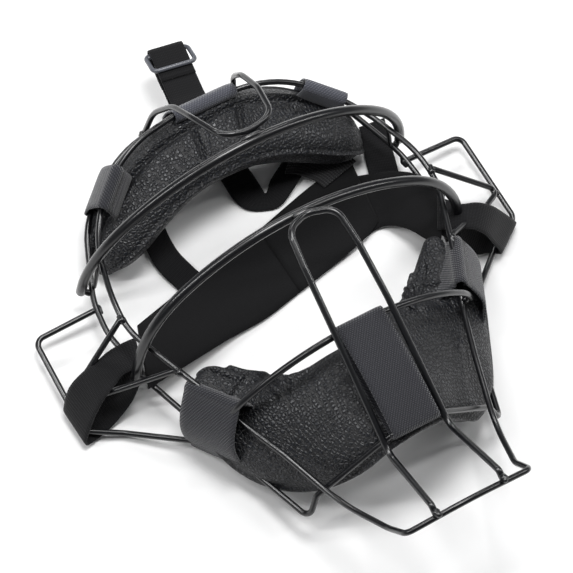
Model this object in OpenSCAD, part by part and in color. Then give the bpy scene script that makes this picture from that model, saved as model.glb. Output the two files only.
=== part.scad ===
// Wire catcher's mask lying face up: welded wire cage, two leather pads, webbing harness.
// Millimetres. +X is the wearer's left-right axis, +Y points to the crown, +Z up.
// The cage is laid out in its own face frame and leans back until the ear loops and the
// ends of the forehead pad touch the ground at Z = 0.

/* [Cage] */
// Diameter of the frame, ear and forehead wires
wire_d = 3.2; // [2.8:0.1:3.6]
// Diameter of the nose loop and mouth bar wire
nose_d = 3.6; // [3.2:0.1:4]
// Diameter of the two eye bars
bar_d = 5.6; // [5:0.1:6]
// Half of the distance between the ends of the brow bar
brow_half = 100; // [98:0.5:102]
// Lean of the face frame on the ground, in degrees
lean = 11.5; // [11:0.5:12]

/* [Pads] */
// Width of the forehead pad, crown to brow
forehead_w = 40; // [34:1:42]
// Thickness of the forehead pad
forehead_t = 25; // [20:1:26]
// Width of the chin pad, lip to chin
chin_w = 56; // [50:1:58]
// Thickness of the chin pad
chin_t = 22; // [18:1:23]
// Thickness of the leather covers
cover_t = 1.4; // [1:0.1:2]

/* [Webbing] */
// Width of the narrow straps
strap_w = 20; // [18:1:22]
// Width of the elastic side straps
side_w = 25; // [22:1:26]
// Width of the back band
band_w = 46; // [40:1:48]
// Thickness of the webbing
web_t = 1.5; // [1.2:0.1:1.6]
// Thickness of the back band
band_t = 2.4; // [2:0.1:2.6]

/* [Slider] */
// Width of the strap slider across the strap
slider_w = 25; // [24:0.5:27]
// Length of the strap slider along the strap
slider_l = 16; // [15:0.5:18]
// Thickness of the slider's bars
slider_t = 2.4; // [2:0.1:2.6]

/* [Hidden] */
black_steel = [0.09, 0.09, 0.1];
black_leather = [0.16, 0.16, 0.18];
black_webbing = [0.12, 0.12, 0.13];
grey_plastic = [0.35, 0.36, 0.4];
foam_grey = [0.5, 0.5, 0.52];
// Offset of the face frame's origin, the middle of the brow bar's ends, from the row origin
face_y = 55.2;
face_z = 16.9;
wire_fn = 32;
wire_sides = 10;
bend_step = 15;

// Bend points of the right half of each wire, in the face frame, from the middle outwards
front_half = [
    [47, 41, 45], [70, 27, 31], [85, 9, 23], [94, -23, 21], [96, -44, 15], [78, -92, 7],
    [70, -110, -2], [59, -140, -5], [47, -178, -11], [38, -209, 1], [37, -223, 15]
];
front_bends = [60, 50, 60, 60, 45, 40, 60, 80, 60, 14, 5];
front_top = [0, 50, 43];
front_chin = [0, -226, 23];
rear_half = [
    [46, 53, 25], [80, 31, 12], [97, -7, -3], [99, -26, -8], [93, -61, -15], [74, -119, -26],
    [59, -167, -31], [53, -164, -18]
];
rear_bends = [60, 50, 50, 40, 60, 80, 5, 5];
rear_top = [0, 61, 27];
rear_chin = [0, -173, 29];
forehead_top = [0, -9.6, 82.8];
forehead_half = [[15, -6, 84], [20, 17, 78], [21, 36, 68], [24.8, 51.5, 48.5], [28, 57.2, 27]];
forehead_bends = [11, 25, 22, 10];
nose_top = [0, -64, 73.8];
nose_half = [
    [14, -71, 77], [16, -90, 68], [17, -118, 52], [18, -177, 11], [20, -219, 22.5], [20, -224, 19]
];
nose_bends = [10, 25, 120, 12, 3];
ear_points = [
    [97.5, -11, -5.5], [134, -10, -9], [135.5, -64, -23.5], [116, -74, -28], [76, -107, -26.5]
];
ear_bends = [5, 6, 8];
brace_points = [[97, -38, 17.5], [135, -48, -16], [121, -57, -10.5], [84, -76, 10]];
brace_bends = [3, 8];

// Planar eye and mouth bars: [middle y, middle z, tilt, R1, angle 1, R2, angle 2, end run]
brow_arc = [-14, 80, 10, 110, 46, brow_half - 25, 83, 5];
lower_arc = [-60, 70, 0, 130, 32, 66, 80, 10];
mouth_arc = [-118.5, 42.7, 10.5, 92, 46, 36, 72, 0.5];

// Middle of each pad in the face frame: [x, y, z, roll, part of the width, part of the thickness]
forehead_path = [
    [0, 34.5, 25, 12, 0.97, 1], [18, 34.5, 24, 12, 1, 1], [36, 31.5, 19.5, 12, 1, 0.98],
    [53, 26.5, 12, 12, 0.96, 0.94], [66, 21, 4.5, 12, 0.86, 0.86], [74, 17.5, -1, 12, 0.68, 0.7],
    [79, 16, -5.5, 12, 0.42, 0.4]
];
chin_path = [
    [0, -143, 12.5, 5, 1, 1], [14, -143, 10, 8, 1, 1], [28, -140, 0.5, 18, 1, 1],
    [43, -131, -9.5, 26, 1, 1], [55, -117, -12, 28, 0.94, 0.95], [62, -102, -10.5, 20, 0.8, 0.78],
    [67, -90, -7, 12, 0.6, 0.6], [72, -80, -4, 8, 0.4, 0.42]
];

// Routes of the flat straps in the row frame: [x, y, z of the middle, heading of the width,
// part of the width]. The band hangs between the rear wires, and lies on the ground between them
band_path = [
    [-90, 6, 18, 70, 0.81], [-67, 12, 11, 76, 0.84], [-37, 19, 4, 83, 0.89], [-15, 22, 1.7, 88, 0.93],
    [8, 27, 1.4, 92, 0.93], [38, 34, 1.4, 90, 0.96], [56, 36, 1.4, 84, 0.86], [74, 34, 3, 72, 0.72],
    [84, 24, 12, 65, 0.77], [90, 11, 19, 60, 0.84], [92, -1, 25.5, 54, 0.7]
];
crown_left_path = [
    [-40, 34, 1.4, 26, 0.82], [-43, 44, 1.8, 22, 0.8], [-45.8, 56, 2.2, 16, 0.8], [-45, 70, 2.2, 14, 0.78],
    [-42, 84, 3.5, 12, 0.78], [-38, 94, 5, 10, 0.78]
];
crown_right_path = [
    [84, 38, 1.6, -20, 0.85], [88, 50, 3, -20, 0.85], [92, 62, 3, -12, 0.82], [96, 74, 4, -5, 0.8],
    [99, 84, 6, 0, 0.8]
];
elastic_path = [
    [64, 56, 5.2, 14, 1], [62, 61, 5.6, 14, 1], [57, 68, 6.4, 22, 1], [51, 74, 7, 35, 0.95],
    [44, 78, 6, 45, 0.85]
];
folded_path = [
    [11, 100, 3.4, -5, 0.9], [13, 86, 2, -3, 0.87], [14, 76, 1.6, 10, 0.89], [15, 65, 1.6, 22, 0.8]
];
folded_return = [
    [19, 62.5, 2.4, 110, 0.6], [32, 66, 2.6, 119, 0.68], [43, 72.5, 3.6, 127, 0.68], [51, 78, 4.2, 130, 0.75]
];
// Side straps: each leaves the band's end, loops round the ear loop and is sewn back to the band
side_left_path = [
    [-92, 8, 19.8, -105, 0.75], [-104, 8, 23.5, -88, 0.62], [-115, 4, 25, -88, 0.7],
    [-122.6, 1.2, 24.5, -95, 0.84], [-131.5, -2, 17, -84, 0.9], [-138, -8, 6.4, -87, 0.9],
    [-133, -7, 2.8, -86, 0.95], [-121, -4, 2.8, -84, 0.95], [-107, 0, 11, -90, 0.95],
    [-97, 4, 17.6, -100, 0.85]
];
side_right_path = [
    [92, 3, 25.5, -122, 0.85], [98, -6, 31.5, -122, 0.62], [105.5, -10, 33, -134, 0.66],
    [113, -14, 28, -135, 0.72], [120, -18, 17.5, -140, 0.8], [126.3, -21, 6, -145, 0.86],
    [122.5, -16, 2.4, -142, 0.9], [114, -14, 5, -140, 0.9], [106, -10, 12, -138, 0.88],
    [98, -5, 20, -130, 0.85]
];

// Chin tabs: middles of the wires that they go round, direction and width along them
chin_tab_front = [76.9, -95.6, 6];
chin_tab_rear = [79.5, -105.2, -30.2];
chin_tab_run = [-12.2, -23.3, 3.7];
chin_tab_w = 26.6;
// Forehead tabs: middles of the front and rear wires under the right one, and their direction
tab_front = [68, 27.5, 32.3];
tab_rear = [69, 38.1, 16.2];
tab_run = [12.6, -10, -6.2];

// Top strap frame: middle of the rear wire's top run, turned towards the strap's heading
strap_heading = -10;
strap_gap = 1.9;
strap_root_x = 2;
root_gap = wire_d / 2 + 0.7 + web_t;
root_taper = 9;
ply = web_t * 0.8;
root_step = 15;
strap_fixed_l = 33;
fold_start = 21;
fold_end = 41;

function unit(v) = v / norm(v);
function flip(p) = [-p[0], p[1], p[2]];
function reversed(list) = [for (i = [len(list) - 1:-1:0]) list[i]];
function flipped(list) = [for (p = reversed(list)) flip(p)];

// Smooth curve through a list of stations of any length, four steps between two stations
function station(list, i) = i < 0 ? 2 * list[0] - list[1]
    : i >= len(list) ? 2 * list[len(list) - 1] - list[len(list) - 2] : list[i];
function curve_at(a, b, c, d, t) =
    0.5 * (2 * b + (c - a) * t + (2 * a - 5 * b + 4 * c - d) * t * t + (3 * b - a - 3 * c + d) * t * t * t);
function smooth(list, steps) = concat(
    [for (i = [0:len(list) - 2], k = [0:steps - 1])
        curve_at(station(list, i - 1), list[i], list[i + 1], station(list, i + 2), k / steps)],
    [list[len(list) - 1]]);

// Places its children, made in the face frame, in the row frame
module in_face() {
    translate([0, face_y, face_z]) rotate([-lean, 0, 0]) children();
}

module left_of() {
    mirror([1, 0, 0]) children();
}

// Straight round rod between two points
module rod(a, b, d) {
    v = b - a;
    translate(a)
        rotate([0, acos(v[2] / norm(v)), atan2(v[1], v[0])])
            cylinder(h = norm(v), d = d, $fn = wire_fn);
}

// Points along the bend of radius r at corner c, between the directions to p and n
function bend_points(p, c, n, r) =
    let (
        a = unit(p - c),
        b = unit(n - c),
        turn = 180 - acos(a * b),
        centre = c + unit(a + b) * r / cos(turn / 2),
        x = unit(c + a * r * tan(turn / 2) - centre),
        steps = ceil(turn / bend_step)
    )
    [for (k = [0:steps]) centre + (x * cos(turn * k / steps) - a * sin(turn * k / steps)) * r];

// Middle of a symmetric bend at the corner c, which ends towards n, with points on to its end
function middle_bend(c, n, r) =
    let (
        b = unit(n - c),
        turn = 180 - acos(unit(flip(n) - c) * b),
        centre = c + unit([0, b[1], b[2]]) * r / cos(turn / 2),
        y = unit(c - centre),
        steps = ceil(turn / 2 / bend_step)
    )
    [for (k = [0:steps])
        let (w = turn / 2 * k / steps)
        centre + (y * cos(w) + [1, 0, 0] * sin(w)) * r];

// Route through the corners, with a bend at each inner one
function inner_route(points, bends) =
    [for (i = [1:len(points) - 2], q = bend_points(points[i - 1], points[i], points[i + 1], bends[i - 1])) q];

function open_route(points, bends) =
    concat([points[0]], inner_route(points, bends), [points[len(points) - 1]]);

// Right half of a symmetric wire with open ends, from its top corner
function half_open_route(top, points, bends, top_bend) =
    concat(
        middle_bend(top, points[0], top_bend),
        inner_route(concat([top], points), bends),
        [points[len(points) - 1]]);

// Right half of a symmetric closed loop, from its top corner to its chin corner
function half_loop_route(top, points, chin, bends, top_bend, chin_bend) =
    concat(
        middle_bend(top, points[0], top_bend),
        inner_route(concat([top], points, [chin]), bends),
        reversed(middle_bend(chin, points[len(points) - 1], chin_bend)));

// Right half of a planar bar: two arcs and a straight end, bulging up before it is tilted
function bar_route(arc) =
    let (
        r1 = arc[3], a1 = arc[4], r2 = arc[5], a2 = arc[6],
        x2 = (r1 - r2) * sin(a1),
        drop2 = r1 - (r1 - r2) * cos(a1),
        flat = concat(
            [for (k = [0:8]) [r1 * sin(a1 * k / 8), r1 * (1 - cos(a1 * k / 8))]],
            [for (k = [1:6]) let (a = a1 + (a2 - a1) * k / 6) [x2 + r2 * sin(a), drop2 - r2 * cos(a)]],
            [[x2 + r2 * sin(a2) + arc[7] * cos(a2), drop2 - r2 * cos(a2) + arc[7] * sin(a2)]])
    )
    [for (p = flat) [p[0], arc[0] + p[1] * sin(arc[2]), arc[1] - p[1] * cos(arc[2])]];

function tangent(route, i) =
    unit(route[min(i + 1, len(route) - 1)] - route[max(i - 1, 0)]);

// Side vector carried along the route without twist
function carried(route, u, i = 0) = i >= len(route) ? []
    : let (t = tangent(route, i), side = unit(u - t * (u * t))) concat([side], carried(route, side, i + 1));

// Round rings of the wire; a symmetric wire's first ring lies in the middle plane
function wire_rings(route, d, symmetric) =
    let (sides = carried(route, symmetric ? [0, 0, 1] : unit(cross(tangent(route, 0), [0, 1, 0.3]))))
    [for (i = [0:len(route) - 1])
        let (
            edge = symmetric && (i == 0 || abs(route[i][0]) < 0.001),
            t = edge ? [sign(tangent(route, i)[0]), 0, 0] : tangent(route, i),
            u = edge ? unit([0, sides[i][1], sides[i][2]]) : sides[i],
            v = cross(t, u)
        )
        [for (k = [0:wire_sides - 1])
            route[i] + (u * cos(k * 360 / wire_sides) + v * sin(k * 360 / wire_sides)) * d / 2]];

function flip_ring(ring) = [for (p = ring) flip(p)];

// Rounded end: a smaller ring a little past the last one
function with_end(rings, route, d) =
    let (n = len(route) - 1, t = unit(route[n] - route[n - 1]))
    concat(rings, [[for (p = rings[n]) route[n] + (p - route[n]) * 0.6 + t * d * 0.25]]);

module mirrored_wire(route, d) {
    half = with_end(wire_rings(route, d, true), route, d);
    n = len(half);
    sweep(concat([for (i = [n - 1:-1:1]) flip_ring(half[i])], half));
}

module mirrored_loop(route, d) {
    half = wire_rings(route, d, true);
    n = len(half);
    ring_sweep(concat(half, [for (i = [n - 2:-1:1]) flip_ring(half[i])]));
}

module plain_wire(route, d) {
    sweep(wire_rings(route, d, false));
}

module front_frame_wire() {
    color(black_steel) in_face()
        mirrored_loop(half_loop_route(front_top, front_half, front_chin, front_bends, 70, 60), wire_d);
}

module rear_frame_wire() {
    color(black_steel) in_face()
        mirrored_loop(half_loop_route(rear_top, rear_half, rear_chin, rear_bends, 70, 30), wire_d);
}

module brow_bar() {
    color(black_steel) in_face() mirrored_wire(bar_route(brow_arc), bar_d);
}

module lower_eye_bar() {
    color(black_steel) in_face() mirrored_wire(bar_route(lower_arc), bar_d);
}

module mouth_bar() {
    color(black_steel) in_face() mirrored_wire(bar_route(mouth_arc), nose_d);
}

module forehead_loop() {
    color(black_steel) in_face()
        mirrored_wire(half_open_route(forehead_top, forehead_half, forehead_bends, 25), wire_d);
}

module nose_loop() {
    color(black_steel) in_face()
        mirrored_wire(half_open_route(nose_top, nose_half, nose_bends, 9), nose_d);
}

module ear_loop_right() {
    color(black_steel) in_face() plain_wire(open_route(ear_points, ear_bends), wire_d);
}

module ear_loop_left() {
    color(black_steel) left_of() in_face() plain_wire(open_route(ear_points, ear_bends), wire_d);
}

module ear_brace_right() {
    color(black_steel) in_face() plain_wire(open_route(brace_points, brace_bends), wire_d);
}

module ear_brace_left() {
    color(black_steel) left_of() in_face() plain_wire(open_route(brace_points, brace_bends), wire_d);
}

// Short weld fillets that join the wires, right half: [end a, end b, diameter]
welds_half = [
    [[99, 0, -0.5], [95.5, -2.5, -2], 3.4],
    [[99.5, -60, -3], [93, -62, -13.5], 3.2],
    [[73.8, -110.4, 1.5], [71, -109.5, -0.5], 3.4],
    [[93, -2, 1], [90, -2.5, 20], 2.6],
    [[132, -48.3, -15.5], [134.6, -48, -19], 2.4]
];
center_welds = [
    [[-4, -12.4, 81.4], [4, -12.4, 81.4], 4],
    [[-3, -64.5, 74], [3, -64.5, 74], 4]
];

module weld_beads() {
    color(black_steel) in_face() {
        for (w = welds_half, side = [0, 1]) {
            mirror([side, 0, 0]) rod(w[0], w[1], w[2]);
        }
        for (w = center_welds) {
            rod(w[0], w[1], w[2]);
        }
    }
}

// Rounded pad section in the plane across the pad: width w along v, thickness t along u
function pad_ring(c, u, v, w, t) = [for (k = [0:15])
    let (a = k * 22.5, cu = cos(a), cv = sin(a))
    c + v * w / 2 * sign(cv) * pow(abs(cv), 0.75) + u * t / 2 * sign(cu) * pow(abs(cu), 0.85)];

// A station without its first value
function tail(station) = [for (i = [1:len(station) - 1]) station[i]];

// Pad swept along a symmetric path of stations; shrink takes the cover's thickness off
module pad(path, width, thick, shrink) {
    half = smooth(path, 2);
    n = len(half);
    full = concat([for (i = [n - 1:-1:1]) concat([-half[i][0]], tail(half[i]))], half);
    m = len(full);
    rings = [for (i = [0:m - 1])
        let (
            p = [full[i][0], full[i][1], full[i][2]],
            q0 = full[max(i - 1, 0)],
            q1 = full[min(i + 1, m - 1)],
            run = unit([q1[0] - q0[0], q1[1] - q0[1], q1[2] - q0[2]]),
            up = [0, cos(full[i][3]), sin(full[i][3])],
            u = unit(cross(run, up)),
            v = unit(cross(u, run)),
            end = i == 0 || i == m - 1 ? shrink : 0
        )
        pad_ring(p - run * end * (i == 0 ? -1 : 1), u, v,
            width * full[i][4] - 2 * shrink, thick * full[i][5] - 2 * shrink)];
    sweep(rings);
}

// Closed solid through a list of rings with the same number of points
module sweep(rings) {
    n = len(rings);
    k = len(rings[0]);
    polyhedron(
        points = [for (r = rings, p = r) p],
        faces = concat(
            [[for (j = [k - 1:-1:0]) j]],
            [for (i = [0:n - 2], j = [0:k - 1])
                [i * k + j, i * k + (j + 1) % k, (i + 1) * k + (j + 1) % k, (i + 1) * k + j]],
            [[for (j = [0:k - 1]) (n - 1) * k + j]]),
        convexity = 6);
}

// Closed tube: the last ring joins the first
module ring_sweep(rings) {
    n = len(rings);
    k = len(rings[0]);
    polyhedron(
        points = [for (r = rings, p = r) p],
        faces = [for (i = [0:n - 1], j = [0:k - 1])
            let (a = i * k, b = ((i + 1) % n) * k, m = (j + 1) % k) [a + j, a + m, b + m, b + j]],
        convexity = 6);
}

module forehead_pad_cover() {
    color(black_leather) in_face() difference() {
        pad(forehead_path, forehead_w, forehead_t, 0);
        pad(forehead_path, forehead_w, forehead_t, cover_t);
    }
}

module forehead_pad_foam() {
    color(foam_grey) in_face() pad(forehead_path, forehead_w, forehead_t, cover_t + 0.1);
}

module chin_pad_cover() {
    color(black_leather) in_face() difference() {
        pad(chin_path, chin_w, chin_t, 0);
        pad(chin_path, chin_w, chin_t, cover_t);
    }
}

module chin_pad_foam() {
    color(foam_grey) in_face() pad(chin_path, chin_w, chin_t, cover_t + 0.1);
}

function heading(w) = [cos(w), sin(w), 0];
function place(s) = [s[0], s[1], s[2]];

// Four corners of the webbing's section at the station s, with its run towards next
function strap_ring(s, before, next, width, thick) =
    let (
        v = heading(s[3]),
        n = unit(cross(place(next) - place(before), v)) * thick / 2,
        p = place(s),
        h = v * width * s[4] / 2
    )
    [p - h - n, p + h - n, p + h + n, p - h + n];

// Webbing strap along stations [x, y, z, heading of the width, part of the width]
module ribbon(path, width, thick) {
    fine = smooth(path, 4);
    n = len(fine);
    sweep([for (i = [0:n - 1])
        strap_ring(fine[i], fine[max(i - 1, 0)], fine[min(i + 1, n - 1)], width, thick)]);
}

// Webbing strap whose end is sewn back to its start
module ribbon_loop(path, width, thick) {
    steps = 4;
    n = len(path);
    around = smooth(concat([path[n - 1]], path, [path[0], path[1]]), steps);
    m = n * steps;
    fine = [for (i = [0:m - 1]) around[steps + i]];
    ring_sweep([for (i = [0:m - 1])
        strap_ring(fine[i], fine[(i + m - 1) % m], fine[(i + 1) % m], width, thick)]);
}

// Closed webbing loop around two wires: a and b are the wires' middles, along is the wires' run
module web_loop(a, b, along, width, gap, thick) {
    z = unit(along);
    x = unit(b - a);
    y = unit(cross(z, x));
    reach = norm(b - a);
    multmatrix([
        [x[0], y[0], z[0], a[0]],
        [x[1], y[1], z[1], a[1]],
        [x[2], y[2], z[2], a[2]],
        [0, 0, 0, 1]
    ])
        translate([0, 0, -width / 2]) linear_extrude(height = width) difference() {
            racetrack(reach, gap + thick);
            racetrack(reach, gap);
        }
}

module racetrack(reach, r) {
    circle(r = r, $fn = wire_fn);
    translate([reach, 0]) circle(r = r, $fn = wire_fn);
    translate([0, -r]) square([reach, 2 * r]);
}

// shift moves the tab along the wires, away from the middle
module forehead_tab(shift) {
    along = unit(tab_run);
    color(black_webbing) in_face()
        web_loop(tab_front + along * shift, tab_rear + along * shift, along, side_w, wire_d / 2 + 0.6, web_t);
}

module forehead_tab_right() {
    forehead_tab(0);
}

module forehead_tab_left() {
    left_of() forehead_tab(-3);
}

module forehead_tab_center() {
    color(black_webbing) in_face()
        web_loop([4, 47, 43.3], [4, 57.6, 26.8], [1, 0, 0], 38, wire_d / 2 + 0.6, web_t);
}

module chin_tab() {
    color(black_webbing) in_face()
        web_loop(chin_tab_front, chin_tab_rear, chin_tab_run, chin_tab_w, wire_d / 2 + 0.8, web_t);
}

module chin_tab_right() {
    chin_tab();
}

module chin_tab_left() {
    left_of() chin_tab();
}

module chin_tab_center() {
    color(black_webbing) in_face()
        web_loop([0, -118.5, 42.7], [0, -171.5, 19.5], [1, 0, 0], 28, nose_d / 2 + 0.3, web_t);
}

module side_strap_right() {
    color(black_webbing) ribbon_loop(side_right_path, side_w, web_t);
}

module side_strap_left() {
    color(black_webbing) ribbon_loop(side_left_path, side_w, web_t);
}

module back_band() {
    color(black_webbing) ribbon(band_path, band_w, band_t);
}

module crown_strap_left() {
    color(black_webbing) ribbon(crown_left_path, strap_w, web_t);
}

module crown_strap_right() {
    color(black_webbing) ribbon(crown_right_path, strap_w, web_t);
}

module crown_strap_folded() {
    color(black_webbing) {
        ribbon(folded_path, strap_w, web_t);
        ribbon(folded_return, strap_w, web_t);
    }
}

module elastic_strap() {
    color(black_webbing) ribbon(elastic_path, side_w, web_t);
}

// Frame of the top strap: X across the strap, Y along it, Z out of its upper face
module on_top_strap() {
    in_face() translate([strap_root_x, 57.6, 26.8]) rotate([4, 0, strap_heading]) children();
}

// Half of a flat ring, on the side of the strap's free end
module half_ring(r, thick) {
    intersection() {
        difference() {
            circle(r = r + thick, $fn = wire_fn);
            circle(r = r, $fn = wire_fn);
        }
        translate([0, -r - thick]) square([r + thick, 2 * (r + thick)]);
    }
}

// Extrudes a profile drawn in the strap's Y-Z plane across the strap
module across_strap(width) {
    translate([-width / 2, 0, 0]) rotate([90, 0, 90]) linear_extrude(height = width) children();
}

// Half of the strap's edge at the distance out from its middle line, from the end to the root
function strap_edge(out) = concat(
    [[strap_fixed_l, strap_gap + out], [root_taper, strap_gap + out]],
    [for (a = [90:root_step:180]) [cos(a), sin(a)] * (root_gap + out)]);

module top_strap() {
    color(black_webbing) on_top_strap() across_strap(strap_w)
        polygon(concat(
            strap_edge(ply), [for (q = reversed(strap_edge(ply))) [q[0], -q[1]]],
            [for (q = strap_edge(0)) [q[0], -q[1]]], reversed(strap_edge(0))));
}

module top_strap_fold() {
    r = strap_gap + ply + 0.05;
    color(black_webbing) on_top_strap() across_strap(strap_w) {
        for (z = [-r - ply, r]) {
            translate([fold_start, z]) square([fold_end - fold_start, ply]);
        }
        translate([fold_end, 0]) half_ring(r, ply);
    }
}

// Moulded frame: a bar inside the fold, two side rails and a bar across the strap's upper face
module strap_slider() {
    inner = strap_w + 1;
    side = (slider_w - inner) / 2;
    end_wall = 2;
    start_y = fold_end + end_wall - slider_l;
    bar_r = slider_t / 2;
    bar_z = strap_gap + 2 * ply + 0.3 + bar_r;
    color(grey_plastic) on_top_strap() {
        translate([-slider_w / 2, fold_end, 0]) rotate([0, 90, 0])
            cylinder(h = slider_w, d = slider_t, $fn = wire_fn);
        for (x = [-slider_w / 2, slider_w / 2 - side]) {
            translate([x, 0, 0]) rotate([90, 0, 90]) linear_extrude(height = side)
                polygon([
                    [start_y, bar_z - bar_r], [start_y, bar_z + bar_r],
                    [start_y + 2 * slider_t, bar_z + bar_r], [fold_end + bar_r, bar_r],
                    [fold_end + bar_r, -bar_r], [fold_end - end_wall, -bar_r],
                    [start_y + slider_t, bar_z - bar_r]
                ]);
        }
        translate([-slider_w / 2, start_y, bar_z - bar_r]) cube([slider_w, slider_t, slider_t]);
    }
}

front_frame_wire();
rear_frame_wire();
brow_bar();
lower_eye_bar();
forehead_loop();
nose_loop();
mouth_bar();
ear_loop_left();
ear_loop_right();
ear_brace_left();
ear_brace_right();
weld_beads();
forehead_pad_cover();
forehead_pad_foam();
chin_pad_cover();
chin_pad_foam();
forehead_tab_left();
forehead_tab_right();
forehead_tab_center();
chin_tab_left();
chin_tab_right();
chin_tab_center();
side_strap_left();
side_strap_right();
back_band();
crown_strap_left();
crown_strap_right();
crown_strap_folded();
elastic_strap();
top_strap();
top_strap_fold();
strap_slider();
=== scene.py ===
import math

import bpy
import numpy as np
from mathutils import Matrix, Vector


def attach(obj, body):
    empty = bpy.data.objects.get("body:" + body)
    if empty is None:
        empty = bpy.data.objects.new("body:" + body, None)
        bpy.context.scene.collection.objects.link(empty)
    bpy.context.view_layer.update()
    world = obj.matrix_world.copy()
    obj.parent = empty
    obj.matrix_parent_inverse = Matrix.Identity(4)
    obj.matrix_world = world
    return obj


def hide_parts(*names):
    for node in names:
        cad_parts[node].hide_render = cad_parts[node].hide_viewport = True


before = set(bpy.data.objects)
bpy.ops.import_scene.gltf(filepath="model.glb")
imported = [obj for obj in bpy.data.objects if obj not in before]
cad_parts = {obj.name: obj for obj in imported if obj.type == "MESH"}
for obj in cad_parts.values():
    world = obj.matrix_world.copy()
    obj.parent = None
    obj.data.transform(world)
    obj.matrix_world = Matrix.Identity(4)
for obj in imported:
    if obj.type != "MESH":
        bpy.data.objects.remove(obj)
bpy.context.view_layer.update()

# Catcher's mask. Lengths are in mm and become metres as each mesh is made. In the face frame x is to
# the viewer's right, y towards the crown and z out of the face. The row frame is the CAD's, with z up:
# the mask lies on its back on the floor, tipped by LEAN so that the crown is lower.
MM = 0.001
LEAN = math.radians(11.5)
FACE_AT = np.array([0.0, 55.2, 16.9])
COLLECTION = bpy.context.scene.collection


# ------------------------------------------------------------------ frames
def turn_x(p):
    """A vector of the face frame, turned into the row frame."""
    p = np.asarray(p, float)
    c, s = math.cos(LEAN), math.sin(LEAN)
    return np.stack([p[..., 0], p[..., 1] * c + p[..., 2] * s, -p[..., 1] * s + p[..., 2] * c], -1)


def row(p):
    """Points of the face frame, in mm, as points of the row frame, in mm."""
    return turn_x(p) + FACE_AT


def unit(v):
    v = np.asarray(v, float)
    return v / np.maximum(np.linalg.norm(v, axis=-1, keepdims=True), 1e-12)


def flip(points):
    """Points mirrored to the other side of the face."""
    return np.asarray(points, float) * np.array([-1.0, 1.0, 1.0])


def smooth_list(stations, steps):
    """Catmull-Rom curve through stations of any number of values, with some steps to each span."""
    s = np.asarray(stations, float)
    s = np.vstack([2 * s[0] - s[1], s, 2 * s[-1] - s[-2]])
    out = []
    for i in range(1, len(s) - 2):
        a, b, c, d = s[i - 1], s[i], s[i + 1], s[i + 2]
        for k in range(steps):
            t = k / steps
            out.append(0.5 * (2 * b + (c - a) * t + (2 * a - 5 * b + 4 * c - d) * t * t
                              + (3 * b - a - 3 * c + d) * t ** 3))
    out.append(s[-2])
    return np.array(out)


# ------------------------------------------------------------------ camera
# Fitted to the cage's mirror pairs: turn and rise in the face frame, distance, and the point aimed at
CAM_TURN = math.radians(-31.01)
CAM_RISE = math.radians(54.52)
CAM_AWAY = 1579.8
CAM_AIM = np.array([-10.5, -63.1, 15.6])
SENSOR = 36.0
IMAGE_SIDE = 573.0
FOCAL = 3000.0 / IMAGE_SIDE * SENSOR
FAR_CLIP = 20000.0

level = math.cos(CAM_RISE)
back = np.array([math.sin(CAM_TURN) * level, -math.cos(CAM_TURN) * level, math.sin(CAM_RISE)])
right = np.array([math.cos(CAM_TURN), math.sin(CAM_TURN), 0.0])
up = np.cross(back, right)
camera_data = bpy.data.cameras.new("camera")
camera_data.lens = FOCAL
camera_data.sensor_width = SENSOR
camera_data.clip_end = FAR_CLIP * MM
camera = bpy.data.objects.new("camera", camera_data)
COLLECTION.objects.link(camera)
columns = [turn_x(v) for v in (right, up, back)] + [row(CAM_AIM + back * CAM_AWAY) * MM]
camera.matrix_world = Matrix([[c[i] for c in columns] for i in range(3)] + [[0, 0, 0, 1]])
bpy.context.scene.camera = camera


# ------------------------------------------------------------------ material helpers
def new_material(name):
    m = bpy.data.materials.new(name)
    m.use_nodes = True
    return m, m.node_tree, m.node_tree.nodes["Principled BSDF"]


def add(tree, kind, inputs=None, **settings):
    """A new node; an input that is a socket is linked and any other value is set."""
    n = tree.nodes.new(kind)
    for k, v in settings.items():
        setattr(n, k, v)
    for k, v in (inputs or {}).items():
        if isinstance(v, bpy.types.NodeSocket):
            tree.links.new(v, n.inputs[k])
        else:
            n.inputs[k].default_value = v
    return n


def math_node(tree, op, a, b=0.0):
    return add(tree, "ShaderNodeMath", {0: a, 1: b}, operation=op).outputs[0]


def object_place(tree):
    return add(tree, "ShaderNodeTexCoord").outputs["Object"]


def noise(tree, at, scale, detail, **more):
    inputs = {"Vector": at, "Scale": scale, "Detail": detail, **more}
    return add(tree, "ShaderNodeTexNoise", inputs).outputs["Fac"]


def between(tree, value, low, high):
    """A value from 0 to 1 as one from low to high."""
    return add(tree, "ShaderNodeMapRange", {"Value": value, 3: low, 4: high}).outputs[0]


def mix(tree, fac, a, b):
    """One colour or another by a factor; each may be a socket or a plain value."""
    n = tree.nodes.new("ShaderNodeMix")
    n.data_type = "RGBA"
    for i, v in ((0, fac), (6, a), (7, b)):
        if isinstance(v, bpy.types.NodeSocket):
            tree.links.new(v, n.inputs[i])
        else:
            n.inputs[i].default_value = v if i == 0 else (*v, 1)
    return n.outputs[2]


def bumps(tree, bsdf, layers):
    """Chains bump nodes: (height socket, strength, distance in m)."""
    normal = None
    for height, strength, distance in layers:
        n = add(tree, "ShaderNodeBump", {"Height": height, "Strength": strength, "Distance": distance})
        if normal is not None:
            tree.links.new(normal, n.inputs["Normal"])
        normal = n.outputs["Normal"]
    tree.links.new(normal, bsdf.inputs["Normal"])


def paint_material():
    m, t, b = new_material("satin_black_paint")
    co = object_place(t)
    peel = noise(t, co, 900, 2)
    wear = noise(t, co, 45, 4)
    t.links.new(mix(t, wear, (0.002, 0.002, 0.003), (0.004, 0.0045, 0.006)), b.inputs["Base Color"])
    t.links.new(between(t, wear, 0.28, 0.36), b.inputs["Roughness"])
    b.inputs["Specular IOR Level"].default_value = 0.35
    b.inputs["Coat Weight"].default_value = 0.6
    b.inputs["Coat Roughness"].default_value = 0.2
    bumps(t, b, [(peel, 0.12, 0.0002)])
    return m


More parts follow.
